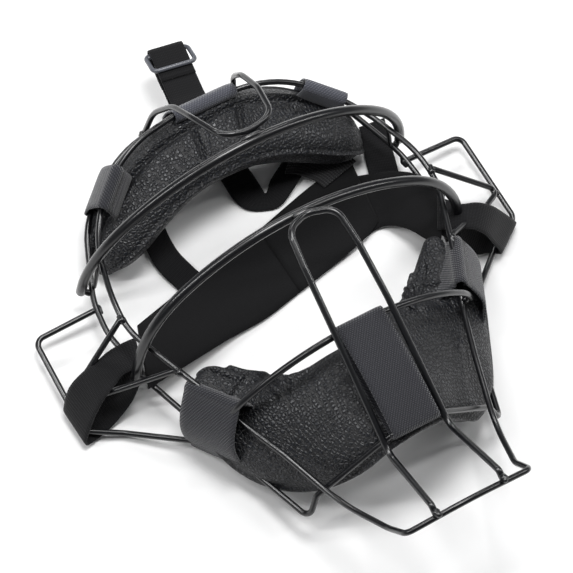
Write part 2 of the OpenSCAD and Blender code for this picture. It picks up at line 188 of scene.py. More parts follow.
def leather_material():
    """Pebbles are warped cells, rougher in the creases between them; the creases are painted near black as
    painted shade.
    """
    m, t, b = new_material("pebbled_leather")
    co = object_place(t)
    warp = add(t, "ShaderNodeTexNoise", {"Vector": co, "Scale": 300, "Detail": 1}).outputs["Color"]
    moved = add(t, "ShaderNodeVectorMath", {0: warp, "Scale": 0.0008}, operation="SCALE").outputs[0]
    where = add(t, "ShaderNodeVectorMath", {0: co, 1: moved}, operation="ADD").outputs[0]
    cell = add(t, "ShaderNodeTexVoronoi", {"Vector": where, "Scale": 480, "Randomness": 0.75},
               feature="DISTANCE_TO_EDGE").outputs["Distance"]
    pebble = add(t, "ShaderNodeMapRange", {"Value": cell, 1: 0.0, 2: 0.3, 3: 0.0, 4: 1.0},
                 interpolation_type="SMOOTHSTEP").outputs[0]
    crease = noise(t, co, 70, 4, Roughness=0.6)
    broad = noise(t, co, 18, 3)
    base = mix(t, broad, (0.006, 0.007, 0.0105), (0.010, 0.0118, 0.0165))
    # Painted shade: the creases between pebbles take a near-black colour in place of the base colour.
    t.links.new(mix(t, pebble, (0.003, 0.003, 0.004), base), b.inputs["Base Color"])
    t.links.new(between(t, pebble, 0.62, 0.38), b.inputs["Roughness"])
    b.inputs["Specular IOR Level"].default_value = 0.6
    bumps(t, b, [(crease, 0.1, 0.001), (pebble, 0.85, 0.0005)])
    return m


def webbing_material(name, dark, light, kind, rough=0.85, sheen=0.35, relief=0.7):
    """Twill, elastic, plain or brushed fabric; the UV map is in metres, u across and v along the strap."""
    m, t, b = new_material(name)
    uv = add(t, "ShaderNodeUVMap", uv_map="strap").outputs["UV"]
    u, v = add(t, "ShaderNodeSeparateXYZ", {"Vector": uv}).outputs[:2]
    co = object_place(t)
    jitter = noise(t, co, 700, 2)
    fuzz = noise(t, co, 1800, 3)
    broad = noise(t, co, 30, 3)

    def wave(value, pitch):
        turns = math_node(t, "MULTIPLY", value, 2 * math.pi / pitch)
        sine = math_node(t, "SINE", math_node(t, "ADD", turns, math_node(t, "MULTIPLY", jitter, 1.2)))
        return add(t, "ShaderNodeMapRange", {"Value": sine, 1: -1.0, 2: 1.0}).outputs[0]

    def weave_of(across, across_pitch, along_pitch, floor):
        """Yarns in two directions; the floor keeps some of the first in the dips of the second."""
        lifted = math_node(t, "ADD", wave(v, along_pitch), floor)
        return math_node(t, "MULTIPLY", wave(across, across_pitch), lifted)

    if kind == "twill":
        diagonal = math_node(t, "ADD", u, math_node(t, "MULTIPLY", v, 0.75))
        weave = weave_of(diagonal, 0.0016, 0.0009, 0.35)
    elif kind == "elastic":
        weave = weave_of(u, 0.0017, 0.0011, 0.5)
    elif kind == "plain":
        weave = weave_of(u, 0.0009, 0.0016, 0.3)
    else:
        weave = noise(t, co, 1100, 2)
    tone = math_node(t, "ADD", math_node(t, "MULTIPLY", weave, 0.65), math_node(t, "MULTIPLY", fuzz, 0.35))
    colour = mix(t, tone, dark, light)
    t.links.new(mix(t, math_node(t, "MULTIPLY", broad, 0.35), colour, dark), b.inputs["Base Color"])
    b.inputs["Roughness"].default_value = rough
    b.inputs["Specular IOR Level"].default_value = 0.25
    b.inputs["Sheen Weight"].default_value = sheen
    b.inputs["Sheen Roughness"].default_value = 0.5
    bumps(t, b, [(weave, relief, 0.0005), (fuzz, 0.35, 0.0002)])
    return m


def plastic_material():
    m, t, b = new_material("slider_plastic")
    grain = noise(t, object_place(t), 600, 2)
    t.links.new(mix(t, grain, (0.075, 0.08, 0.095), (0.1, 0.105, 0.12)), b.inputs["Base Color"])
    b.inputs["Roughness"].default_value = 0.28
    b.inputs["Specular IOR Level"].default_value = 0.6
    bumps(t, b, [(grain, 0.08, 0.0002)])
    return m


PAINT = paint_material()
LEATHER = leather_material()
TWILL = webbing_material("twill_webbing", (0.009, 0.009, 0.012), (0.048, 0.05, 0.06), "twill")
HEATHER = webbing_material("heather_webbing", (0.04, 0.042, 0.054), (0.13, 0.135, 0.162), "twill")
PLAIN = webbing_material("plain_webbing", (0.0025, 0.0025, 0.003), (0.009, 0.009, 0.0105), "plain",
                         rough=0.9, sheen=0.08, relief=0.35)
SIDE = webbing_material("side_webbing", (0.003, 0.003, 0.0035), (0.012, 0.012, 0.014), "plain",
                        sheen=0.1, relief=0.45)
ELASTIC = webbing_material("ribbed_elastic", (0.005, 0.005, 0.006), (0.03, 0.03, 0.032), "elastic",
                           sheen=0.25)
BAND = webbing_material("band_fabric", (0.0015, 0.0015, 0.0018), (0.005, 0.005, 0.006), "brushed",
                        rough=0.9, sheen=0.05, relief=0.3)
PLASTIC = plastic_material()


# ------------------------------------------------------------------ mesh helpers
def make_object(name, points, faces, material, uv=None):
    """A new piece from points in mm in the row frame; a uv is in mm too, one pair for each point."""
    mesh = bpy.data.meshes.new(name)
    mesh.from_pydata((np.asarray(points, float) * MM).tolist(), [], [list(map(int, f)) for f in faces])
    mesh.validate()
    mesh.update()
    mesh.materials.append(material)
    mesh.polygons.foreach_set("use_smooth", [True] * len(mesh.polygons))
    if uv is not None:
        layer = mesh.uv_layers.new(name="strap")
        loops = np.zeros(len(mesh.loops), int)
        mesh.loops.foreach_get("vertex_index", loops)
        layer.data.foreach_set("uv", (np.asarray(uv, float)[loops] * MM).ravel())
    o = bpy.data.objects.new(name, mesh)
    COLLECTION.objects.link(o)
    return o


def finish_piece(o, body, slot, *nodes):
    """Puts a piece on its body, in place of its CAD nodes."""
    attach(o, body)
    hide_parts(*nodes)


def grid_faces(rows, cols, close_rows, close_cols):
    """Quads of a grid of points that are listed row by row."""
    faces = []
    for i in range(rows if close_rows else rows - 1):
        for j in range(cols if close_cols else cols - 1):
            a, b = i * cols + j, i * cols + (j + 1) % cols
            c, d = ((i + 1) % rows) * cols + (j + 1) % cols, ((i + 1) % rows) * cols + j
            faces.append([a, b, c, d])
    return faces


def apply_modifiers(o):
    dg = bpy.context.evaluated_depsgraph_get()
    mesh = bpy.data.meshes.new_from_object(o.evaluated_get(dg))
    old = o.data
    o.modifiers.clear()
    o.data = mesh
    mesh.name = o.name
    bpy.data.meshes.remove(old)


def join_meshes(parts):
    """One mesh from parts of (points, faces) or (points, faces, uv)."""
    points, faces, uvs = [], [], []
    for part in parts:
        start = sum(len(p) for p in points)
        points.append(np.asarray(part[0], float))
        faces += [[start + i for i in f] for f in part[1]]
        uvs += part[2:]
    return np.vstack(points), faces, np.vstack(uvs) if uvs else None


# ------------------------------------------------------------------ wires
# Diameters of the outline wires, of the nose loop and mouth bar, and of the two eye bars
WIRE, NOSE, BAR = 3.2, 3.6, 5.6
WIRE_SIDES = 20
BEND_STEP = math.radians(5)
WIRE_GAP = 5.0          # longest distance between a wire's rings
DOME = 0.7              # height of a wire's rounded end, as part of its radius
DOME_ANGLES = (0.45, 0.9, 1.3)

# Corner points in the face frame, of a wire's right half or of the right wire of a pair, and the
# bend radii at them
FRONT_TOP, FRONT_CHIN = [0, 50, 43], [0, -226, 23]
FRONT = [[47, 41, 45], [70, 27, 31], [85, 9, 23], [94, -23, 21], [96, -44, 15], [78, -92, 7],
         [70, -110, -2], [59, -140, -5], [47, -178, -11], [38, -209, 1], [37, -223, 15]]
FRONT_R = [60, 50, 60, 60, 45, 40, 60, 80, 60, 14, 5]
REAR_TOP, REAR_CHIN = [0, 61, 27], [0, -173, 29]
REAR = [[46, 53, 25], [80, 31, 12], [97, -7, -3], [99, -26, -8], [93, -61, -15], [74, -119, -26],
        [59, -167, -31], [53, -164, -18]]
REAR_R = [60, 50, 50, 40, 60, 80, 5, 5]
FOREHEAD_TOP = [0, -9.6, 82.8]
FOREHEAD = [[15, -6, 84], [20, 17, 78], [21, 36, 68], [24.8, 51.5, 48.5], [28, 57.2, 27]]
FOREHEAD_R = [11, 25, 22, 36]
NOSE_TOP = [0, -64, 73.8]
NOSE_HALF = [[14, -71, 77], [16, -90, 68], [17, -118, 52], [18, -177, 11], [20, -219, 22.5], [20, -224, 19]]
NOSE_R = [10, 25, 120, 12, 3]
EAR = [[97.5, -11, -5.5], [134, -10, -9], [135.5, -64, -23.5], [116, -74, -28], [76, -107, -26.5]]
EAR_R = [5, 6, 8]
BRACE = [[97, -38, 17.5], [135, -48, -16], [121, -57, -10.5], [84, -76, 10]]
BRACE_R = [3, 8]
# Planar bars of two arcs a side: middle y, middle z, tilt, radius and angle of the middle arc, radius
# of the side arc and the angle where it ends, straight end run
BROW_ARC = [-14, 80, 10, 110, 46, 75, 83, 5]
LOWER_ARC = [-60, 70, 0, 130, 32, 66, 80, 10]
MOUTH_ARC = [-118.5, 42.7, 10.5, 92, 46, 36, 72, 0.5]


def bend(p, c, n, r):
    """Arc of radius r that rounds the corner c between the points p and n."""
    p, c, n = (np.asarray(q, float) for q in (p, c, n))
    a, b = unit(p - c), unit(n - c)
    turn = math.pi - math.acos(float(np.clip(a @ b, -1, 1)))
    centre = c + unit(a + b) * r / math.cos(turn / 2)
    x = unit(c + a * r * math.tan(turn / 2) - centre)
    steps = max(2, math.ceil(turn / BEND_STEP))
    return [centre + (x * math.cos(turn * k / steps) - a * math.sin(turn * k / steps)) * r
            for k in range(steps + 1)]


def mirrored(points):
    return [flip(p) for p in points]


def open_route(points, bends):
    out = [np.asarray(points[0], float)]
    for i in range(1, len(points) - 1):
        out += bend(points[i - 1], points[i], points[i + 1], bends[i - 1])
    return out + [np.asarray(points[-1], float)]


def closed_route(points, bends):
    n = len(points)
    return [q for i in range(n) for q in bend(points[i - 1], points[i], points[(i + 1) % n], bends[i])]


def symmetric_loop(top, half, chin, bends, top_r, chin_r):
    points = [top] + half + [chin] + mirrored(reversed(half))
    return closed_route(points, [top_r] + bends + [chin_r] + bends[::-1])


def symmetric_open(top, half, bends, top_r):
    points = mirrored(reversed(half)) + [top] + half
    return open_route(points, bends[::-1] + [top_r] + bends)


def bar_route(arc):
    """Whole eye or mouth bar from its right half: two arcs and a straight end, in a tilted plane."""
    y, z, tilt, r1, a1, r2, a2, run = arc
    tilt, a1, a2 = math.radians(tilt), math.radians(a1), math.radians(a2)
    x2, drop = (r1 - r2) * math.sin(a1), r1 - (r1 - r2) * math.cos(a1)
    flat = [(r1 * math.sin(a1 * k / 14), r1 * (1 - math.cos(a1 * k / 14))) for k in range(15)]
    flat += [(x2 + r2 * math.sin(a), drop - r2 * math.cos(a)) for a in np.linspace(a1, a2, 11)[1:]]
    end_x, end_drop = flat[-1]
    flat.append((end_x + run * math.cos(a2), end_drop + run * math.sin(a2)))
    half = [np.array([x, y + d * math.sin(tilt), z - d * math.cos(tilt)]) for x, d in flat]
    return mirrored(half[:0:-1]) + half


def even(route, gap, closed):
    """Puts extra points on long straight runs."""
    out, n = [], len(route)
    for i in range(n if closed else n - 1):
        a, b = route[i], route[(i + 1) % n]
        k = max(1, int(np.linalg.norm(b - a) // gap))
        if np.linalg.norm(b - a) > 0.02:
            out += [a + (b - a) * j / k for j in range(k)]
    if not closed:
        out.append(route[-1])
    return np.array(out)


def tangents(path, closed):
    if closed:
        return unit(np.roll(path, -1, 0) - np.roll(path, 1, 0))
    return unit(np.vstack([path[1] - path[0], path[2:] - path[:-2], path[-1] - path[-2]]))


def frames(path, closed):
    """Tangent and two cross directions at each point of a path, with the least twist."""
    n = len(path)
    t = tangents(path, closed)
    u = np.zeros_like(path)
    u[0] = unit(np.cross(t[0], [0.1, 0.2, 1.0]))
    for i in range(1, n):
        u[i] = unit(u[i - 1] - t[i] * (u[i - 1] @ t[i]))
    if closed:
        last = unit(u[-1] - t[0] * (u[-1] @ t[0]))
        miss = math.atan2(np.cross(last, u[0]) @ t[0], last @ u[0])
        for i in range(n):
            a = miss * i / n
            u[i] = u[i] * math.cos(a) + np.cross(t[i], u[i]) * math.sin(a)
    return t, u, np.cross(t, u)


def dome(at, out, u, v, radius):
    """Smaller and smaller rings that round off a wire's end."""
    return [(at + out * radius * DOME * math.sin(a), u, v, radius * math.cos(a)) for a in DOME_ANGLES]


def tube(path, radius, closed=False, sides=WIRE_SIDES):
    """Points and faces of a round wire along a path in mm; open ends are rounded."""
    path = np.asarray(path, float)
    t, u, v = frames(path, closed)
    radius = np.broadcast_to(np.asarray(radius, float), (len(path),))
    rings = list(zip(path, u, v, radius))
    if not closed:
        start = dome(path[0], -t[0], u[0], v[0], radius[0])
        rings = start[::-1] + rings + dome(path[-1], t[-1], u[-1], v[-1], radius[-1])
    around = [2 * math.pi * k / sides for k in range(sides)]
    points = [c + (a * math.cos(w) + b * math.sin(w)) * r for c, a, b, r in rings for w in around]
    faces = grid_faces(len(rings), sides, closed, True)
    if not closed:
        faces.append(list(range(sides))[::-1])
        faces.append(list(range(len(points) - sides, len(points))))
    return np.array(points), faces


def wire(name, route, diameter, closed=False):
    points, faces = tube(row(even(route, WIRE_GAP, closed)), diameter / 2, closed)
    o = make_object("painted_" + name, points, faces, PAINT)
    finish_piece(o, "mask", "cage_paint", name)


front = symmetric_loop(FRONT_TOP, FRONT, FRONT_CHIN, FRONT_R, top_r=70, chin_r=60)
rear = symmetric_loop(REAR_TOP, REAR, REAR_CHIN, REAR_R, top_r=70, chin_r=30)
wire("front_frame_wire", front, WIRE, True)
wire("rear_frame_wire", rear, WIRE, True)
wire("brow_bar", bar_route(BROW_ARC), BAR)
wire("lower_eye_bar", bar_route(LOWER_ARC), BAR)
wire("mouth_bar", bar_route(MOUTH_ARC), NOSE)
wire("forehead_loop", symmetric_open(FOREHEAD_TOP, FOREHEAD, FOREHEAD_R, top_r=25), WIRE)
wire("nose_loop", symmetric_open(NOSE_TOP, NOSE_HALF, NOSE_R, top_r=9), NOSE)
wire("ear_loop_right", open_route(EAR, EAR_R), WIRE)
wire("ear_loop_left", mirrored(open_route(EAR, EAR_R)), WIRE)
wire("ear_brace_right", open_route(BRACE, BRACE_R), WIRE)
wire("ear_brace_left", mirrored(open_route(BRACE, BRACE_R)), WIRE)


def weld(a, b, r):
    """Spindle-shaped fillet between two points, as a small weld under the paint."""
    a, b = np.asarray(a, float), np.asarray(b, float)
    s = np.linspace(0, 1, 13)
    path = a + (b - a) * s[:, None]
    radius = r * (0.62 + 0.38 * np.sin(math.pi * s) + 0.05 * np.sin(9 * s + a[0]))
    return tube(row(path), radius, sides=14)


# Ends and radius of each weld. WELDS has the right side's, which the left side mirrors.
WELDS = [
    ([99.5, 0.5, -0.3], [95, -3, -2.4], 1.9), ([99.5, -60, -3], [93, -62, -13.5], 1.7),
    ([73.8, -110.6, 1.5], [70.5, -109.3, -0.8], 2.0), ([93, -2, 1], [90, -2.5, 20], 1.35),
    ([97, -8, -4.5], [96, -14, -6], 2.1), ([96.5, -36, 18.2], [94.8, -41, 15.9], 2.1),
    ([85.5, -75, 9.6], [83, -80, 9.2], 2.1), ([78, -103, -26.6], [73.5, -111, -25.6], 2.1),
    ([133, -48, -16.5], [134.8, -48, -19], 1.6), ([28, 57.2, 27.5], [30.5, 57.4, 25.6], 2.0),
    ([20.3, -221.5, 20.8], [19.6, -226, 22.2], 2.3)]
CENTRE_WELDS = [([-6, -12.2, 81.6], [6, -12.2, 81.6], 2.3), ([-5, -62.4, 72.4], [5, -62.4, 72.4], 2.4)]
parts = []
for a, b, r in WELDS:
    parts += [weld(a, b, r), weld(flip(a), flip(b), r)]
parts += [weld(a, b, r) for a, b, r in CENTRE_WELDS]
points, faces, _ = join_meshes(parts)
finish_piece(make_object("painted_weld_beads", points, faces, PAINT), "mask", "cage_paint", "weld_beads")


# ------------------------------------------------------------------ pads
# Stations from a pad's middle to its end: x, y, z, roll in degrees, part of the width and of the thickness
FOREHEAD_PATH = [
    [0, 34.5, 25, 12, 0.97, 1], [18, 34.5, 24, 12, 1, 1], [36, 31.5, 19.5, 12, 1, 0.98],
    [53, 26.5, 12, 12, 0.96, 0.94], [66, 21, 4.5, 12, 0.86, 0.86], [74, 17.5, -1, 12, 0.68, 0.7],
    [79, 16, -5.5, 12, 0.42, 0.4]]
CHIN_PATH = [
    [0, -143, 12.5, 5, 1, 1], [14, -143, 10, 8, 1, 1], [28, -140, 0.5, 18, 1, 1],
    [43, -131, -9.5, 26, 1, 1], [55, -117, -12, 28, 0.94, 0.95], [62, -103, -10.5, 20, 0.76, 0.78],
    [67, -91.5, -7, 12, 0.55, 0.6], [72, -81.5, -4, 8, 0.38, 0.42]]
# The right half has slumped towards the wearer's lip, and its end is gathered to a point
CHIN_RIGHT = [
    [0, -143, 12.5, 5, 1, 1], [14, -140, 10, 8, 1.06, 1], [28, -135, 0.5, 18, 1.12, 1],
    [43, -127, -9.5, 26, 1.18, 1], [55, -115, -12, 28, 1.12, 0.95], [62.5, -102, -10.5, 20, 0.82, 0.78],
    [68.5, -90, -6.5, 12, 0.52, 0.6], [73, -80, -3, 8, 0.34, 0.42], [77, -71, 0, 6, 0.16, 0.22]]
FOREHEAD_SIZE = (40, 25)    # width, thickness
CHIN_SIZE = (56, 22)
AROUND = 40
RING_GAP = 3.6
PATH_STEPS = 12
# Powers below 1 make a pad's oval squarer, across its width and through its thickness
WIDTH_POWER, THICK_POWER = 0.75, 0.85
# Size and distance outward of each ring that closes a pad's end
CAP_RINGS = ((0.82, 1.6), (0.5, 2.8), (0.2, 3.2))


def pad_stations(left, right):
    """Even stations from end to end, and how far each is from the middle, negative on the left."""
    half = smooth_list(left, PATH_STEPS)
    full = np.vstack([half[:0:-1] * np.array([-1, 1, 1, 1, 1, 1]), smooth_list(right, PATH_STEPS)])
    length = np.concatenate([[0], np.cumsum(np.linalg.norm(np.diff(full[:, :3], axis=0), axis=1))])
    s = np.linspace(0, length[-1], int(length[-1] / RING_GAP))
    return np.stack([np.interp(s, length, full[:, k]) for k in range(6)], 1), s - length[len(half) - 1]


def pad_ring(station, run, size):
    """Squarish oval across a pad's run, from the front round by the crown side."""
    roll = math.radians(station[3])
    u = unit(np.cross(run, [0, math.cos(roll), math.sin(roll)]))
    v = unit(np.cross(u, run))
    w, t = size[0] * station[4], size[1] * station[5]
    ring = []
    for k in range(AROUND):
        a = 2 * math.pi * k / AROUND
        cu, cv = math.cos(a), math.sin(a)
        ring.append(station[:3] + v * w / 2 * np.sign(cv) * abs(cv) ** WIDTH_POWER
                    + u * t / 2 * np.sign(cu) * abs(cu) ** THICK_POWER)
    return np.array(ring)


def cap_rings(ring, before):
    """Smaller and smaller rings past a pad's last ring, which round its end."""
    middle = ring.mean(0)
    out = unit(middle - before.mean(0))
    return [middle + (ring - middle) * grow + out * push for grow, push in CAP_RINGS]


def pad_grid(left, right, size):
    """A pad's points and faces, with each point's distance along it in mm and angle round it in degrees.

    The angle is 0 at the front and 90 at the crown side; the distance is 0 in the pad's middle.
    """
    full, s = pad_stations(left, right)
    last = len(full) - 1
    rings = []
    for i in range(len(full)):
        run = unit(full[min(i + 1, last), :3] - full[max(i - 1, 0), :3])
        rings.append(pad_ring(full[i], run, size))
    rings = cap_rings(rings[0], rings[1])[::-1] + rings + cap_rings(rings[-1], rings[-2])
    points, n = np.vstack(rings), len(rings)
    along = np.repeat(np.pad(s, len(CAP_RINGS), "edge"), AROUND)
    angle = np.degrees(np.tile([2 * math.pi * k / AROUND for k in range(AROUND)], n))
    faces = [face[::-1] for face in grid_faces(n, AROUND, False, True)]
    faces.append(list(range(AROUND)))
    faces.append(list(range(len(points) - AROUND, len(points)))[::-1])
    return points, faces, along, angle


def store(mesh, name, values):
    a = mesh.attributes.new(name, "FLOAT", "POINT")
    a.data.foreach_set("value", np.asarray(values, np.float32))


def read(mesh, name):
    out = np.zeros(len(mesh.vertices), np.float32)
    mesh.attributes[name].data.foreach_get("value", out)
    return out.astype(float)


def vectors(mesh, kind):
    """Each vertex's place ("co") or normal ("normal")."""
    out = np.zeros(len(mesh.vertices) * 3, np.float32)
    mesh.vertices.foreach_get(kind, out)
    return out.reshape(-1, 3).astype(float)


def set_coords(mesh, co):
    mesh.vertices.foreach_set("co", np.asarray(co, np.float32).ravel())
    mesh.update()


PRESSURE = 4.0
MOVE_CAP = 4.5          # farthest that the cloth may move a point
CLOTH_FRAMES = 20


def puff(o, pinned, loose):
    """Cloth pressure on a closed mesh: pinned points hold, and loose weights give spare cloth."""
    start = vectors(o.data, "co")
    seams = o.vertex_groups.new(name="seams")
    spare = o.vertex_groups.new(name="spare")
    for i, w in enumerate(loose):
        if pinned[i]:
            seams.add([i], 1.0, "REPLACE")
        spare.add([i], float(w), "REPLACE")
    c = o.modifiers.new("cloth", "CLOTH")
    st = c.settings
    st.quality = 6
    st.mass = 0.2
    st.tension_stiffness = st.compression_stiffness = 20
    st.shear_stiffness = 8
    st.bending_stiffness = 0.25
    st.use_pressure = True
    st.uniform_pressure_force = PRESSURE
    st.vertex_group_mass = "seams"
    st.pin_stiffness = 1
    st.vertex_group_shrink = "spare"
    st.shrink_min = 0.0
    st.shrink_max = -0.09
    st.effector_weights.gravity = 0
    c.collision_settings.use_collision = False
    scene = bpy.context.scene
    scene.frame_start, scene.frame_end = 1, CLOTH_FRAMES
    for f in range(1, CLOTH_FRAMES + 1):
        scene.frame_set(f)
    now = vectors(o.evaluated_get(bpy.context.evaluated_depsgraph_get()).data, "co")
    o.modifiers.clear()
    move = now - start
    size = np.linalg.norm(move, axis=1, keepdims=True)
    set_coords(o.data, start + move * np.minimum(1, MOVE_CAP * MM / np.maximum(size, 1e-9)))
    scene.frame_set(1)


DEGREE = 0.33           # mm that a degree round a pad counts for where distances to seams are measured
PAD_GROW = 1.6
SEAM_HALF = 2.4         # the cloth is held this near a seam
SPARE_REACH = 16        # its spare fabric fades out over this distance from a seam


def line_distance(along, angle, lines):
    """Distance in mm of each point from lines given as (along mm, angle deg) polylines."""
    best = np.full(len(along), 1e9)
    p = np.stack([along, angle * DEGREE], 1)
    for line in lines:
        q = np.array([[a, b * DEGREE] for a, b in line], float)
        for i in range(len(q) - 1):
            d = q[i + 1] - q[i]
            t = np.clip(((p - q[i]) @ d) / max(d @ d, 1e-9), 0, 1)
            best = np.minimum(best, np.linalg.norm(p - q[i] - t[:, None] * d, axis=1))
    return best


def ridge(gap, height, width):
    """Height of a rounded ridge, or depth of a groove where it is negative, at a gap from its line."""
    return height * np.exp(-(gap / width) ** 2)


def sewn_relief(along, angle, seams, welts, folds):
    """Grooves with a lip at the seams, ridges at the piped welts, and the gathered folds."""
    gap = line_distance(along, angle, seams)
    height = ridge(gap, -3.0, 1.25) + ridge(gap - 3.2, 0.8, 1.6)
    height += ridge(line_distance(along, angle, welts), 2.2, 1.3)
    for line, rise, width in folds:
        height += ridge(line_distance(along, angle, [line]), rise, width)
    return height


def leather_pad(name, left, right, size, seams, welts, folds):
    """Stuffed pad: swollen by cloth pressure between its held seams, smoothed, then sewn in relief."""
    points, faces, along, angle = pad_grid(left, right, size)
    o = make_object(name, row(points), faces, LEATHER)
    angle = (angle + 180) % 360 - 180
    gap = line_distance(along, angle, seams + welts)
    normal = vectors(o.data, "normal")
    # The pinned seams stand out from the stations' outline a little, as the stuffed cover does
    set_coords(o.data, vectors(o.data, "co") + normal * PAD_GROW * MM)
    # Subdivision blends these to the new points; an angle wouldn't blend where it turns over at the rear
    store(o.data, "along", along)
    store(o.data, "around_cos", np.cos(np.radians(angle)))
    store(o.data, "around_sin", np.sin(np.radians(angle)))
    puff(o, gap < SEAM_HALF, np.clip(1 - gap / SPARE_REACH, 0.1, 1))
    s = o.modifiers.new("smooth", "SUBSURF")
    s.levels = s.render_levels = 2
    apply_modifiers(o)
    mesh = o.data
    angle = np.degrees(np.arctan2(read(mesh, "around_sin"), read(mesh, "around_cos")))
    height = sewn_relief(read(mesh, "along"), angle, seams, welts, folds)
    set_coords(mesh, vectors(mesh, "co") + vectors(mesh, "normal") * (height * MM)[:, None])
    for n in ("along", "around_cos", "around_sin"):
        mesh.attributes.remove(mesh.attributes[n])
    mesh.polygons.foreach_set("use_smooth", [True] * len(mesh.polygons))
    finish_piece(o, "mask", "pad_leather", name + "_cover", name + "_foam")


# Lines are (distance along, angle round). Folds add a height, negative where it sinks, and a width.
# The forehead pad has one long seam and three darts; its ends and its brow side are piped.
FOREHEAD_SEAMS = [
    [(-92, 8), (-60, 10), (-37, 13), (-8, 14), (19, 21), (45, 20), (70, 20), (92, 16)],
    [(-8, 14), (-11, -27)], [(19, 21), (15, -9)], [(44, 20), (46, 2)]]
FOREHEAD_WELTS = [
    [(-92, -160), (-92, 160)], [(92, -160), (92, 160)],
    [(-92, -70), (0, -76), (92, -70)]]
FOREHEAD_FOLDS = [
    ([(-16, 12), (-22, -14)], -0.7, 2.6), ([(2, 16), (-2, -10)], -0.6, 2.4),
    ([(26, 18), (30, -6)], -0.6, 2.6), ([(-50, 10), (-44, -14)], -0.5, 2.6)]
# The chin pad has piped edges all round. Folds run from its gathered ends along the lip side, and the
# last one is a bulge on the chin side, right of the middle.
CHIN_WELTS = [
    [(-104, 70), (-60, 78), (0, 80), (60, 78), (104, 70)],
    [(-104, -84), (-50, -80), (0, -80), (50, -80), (104, -84)],
    [(-96, -160), (-96, 160)], [(96, -160), (96, 160)]]
CHIN_FOLDS = [
    ([(-88, 62), (-66, 34)], -1.8, 2.0), ([(-80, 70), (-52, 44)], -1.6, 1.8),
    ([(-62, 70), (-30, 52)], -1.2, 2.2), ([(-40, 72), (-8, 58)], -0.7, 2.6),
    ([(112, 60), (86, 46)], -1.8, 1.8), ([(106, 20), (84, 34)], -1.6, 1.8),
    ([(96, 70), (58, 40)], -1.4, 2.0), ([(62, 70), (36, 52)], -0.9, 2.4),
    ([(84, 20), (60, 4)], -0.7, 2.6), ([(-112, 20), (-96, 20), (-88, 45)], -2.4, 1.5),
    ([(-110, 30), (-97, 30)], 1.2, 3.0), ([(44, -74), (54, -66)], 4.0, 9.0)]
leather_pad("forehead_pad", FOREHEAD_PATH, FOREHEAD_PATH, FOREHEAD_SIZE,
            FOREHEAD_SEAMS, FOREHEAD_WELTS, FOREHEAD_FOLDS)
leather_pad("chin_pad", CHIN_PATH, CHIN_RIGHT, CHIN_SIZE, [], CHIN_WELTS, CHIN_FOLDS)


# ------------------------------------------------------------------ webbing
COLS = 10
PLY_EDGE, PLY_ROUND = 0.492, 0.36       # where a strap's face ends, as parts of its width and thickness
RIBBON_STEPS = 8
LOOP_STEPS, LOOP_SIDE = 10, 12          # parts of a loop's half turns and of its straight sides
STRAP_WIDTH, ELASTIC_WIDTH, BAND_WIDTH = 20, 25, 46
STRAP_THICK, TOP_THICK, SIDE_THICK, TAB_THICK = 1.4, 1.2, 1.3, 1.5


def strip(path, across, width, thick, closed=False):
    """Webbing with rounded edges along a path in mm: across gives the width's direction at each point."""
    path = np.asarray(path, float)
    across = unit(np.broadcast_to(np.asarray(across, float), path.shape))
    n = len(path)
    width = np.broadcast_to(np.asarray(width, float), (n,))
    along = np.concatenate([[0], np.cumsum(np.linalg.norm(np.diff(path, axis=0), axis=1))])
    normal = unit(np.cross(tangents(path, closed), across))
    section = [(s, 0.5) for s in np.linspace(-0.5, 0.5, COLS + 1)]
    section[0], section[-1] = (-PLY_EDGE, PLY_ROUND), (PLY_EDGE, PLY_ROUND)
    section += [(0.5, 0.0)] + [(s, -h) for s, h in section[::-1]] + [(-0.5, 0.0)]
    points, uv = [], []
    for i in range(n):
        for s, h in section:
            points.append(path[i] + across[i] * s * width[i] + normal[i] * (h * thick))
            uv.append([s * width[i], along[i]])
    m = len(section)
    faces = grid_faces(n, m, closed, True)
    if not closed:
        faces.append(list(range(m))[::-1])
        faces.append(list(range((n - 1) * m, n * m)))
    return np.array(points), [face[::-1] for face in faces], np.array(uv)


def webbing(prefix, node, parts, material, slot, body="mask"):
    """Straps that replace one CAD node, whose name they take after the prefix."""
    points, faces, uv = join_meshes(parts)
    finish_piece(make_object(prefix + node, points, faces, material, uv), body, slot, node)


def ribbon(stations, width, thick, closed=False):
    """Strap through stations [x, y, z, heading of the width, part of the width] in row mm.

    The end of a closed one is sewn back to its start.
    """
    if closed:
        around = smooth_list([stations[-1]] + stations + stations[:2], RIBBON_STEPS)
        s = around[RIBBON_STEPS:-RIBBON_STEPS - 1]
    else:
        s = smooth_list(stations, RIBBON_STEPS)
    heading = np.radians(s[:, 3])
    across = np.stack([np.cos(heading), np.sin(heading), np.zeros(len(s))], 1)
    return strip(s[:, :3], across, width * s[:, 4], thick, closed)


def racetrack(a, b, gap, run, bulge):
    """Closed path round two wires in face mm.

    The ply on the side of run x (b - a) bows out by the first bulge, and the other ply by the second.
    """
    a, b = np.asarray(a, float), np.asarray(b, float)
    x = unit(b - a)
    y = unit(np.cross(unit(run), x))
    reach = np.linalg.norm(b - a)
    arcs = [math.radians(180 * k / LOOP_STEPS) for k in range(LOOP_STEPS + 1)]
    side = [j / LOOP_SIDE for j in range(1, LOOP_SIDE)]
    pts = [(-gap * math.sin(w), gap * math.cos(w)) for w in arcs]
    pts += [(reach * f, -gap - bulge[1] * math.sin(math.pi * f)) for f in side]
    pts += [(reach + gap * math.sin(w), -gap * math.cos(w)) for w in arcs]
    pts += [(reach * (1 - f), gap + bulge[0] * math.sin(math.pi * f)) for f in side]
    return np.array([a + x * p[0] + y * p[1] for p in pts])


def tab(node, a, b, run, width, gap, material, bulge):
    """Loop of webbing whose plies pass a gap outside the lines through a and b, along the run."""
    path = racetrack(a, b, gap + TAB_THICK / 2, run, bulge)
    part = strip(row(path), turn_x(unit(run)), width, TAB_THICK, True)
    webbing("webbing_", node, [part], material, "tab_webbing")


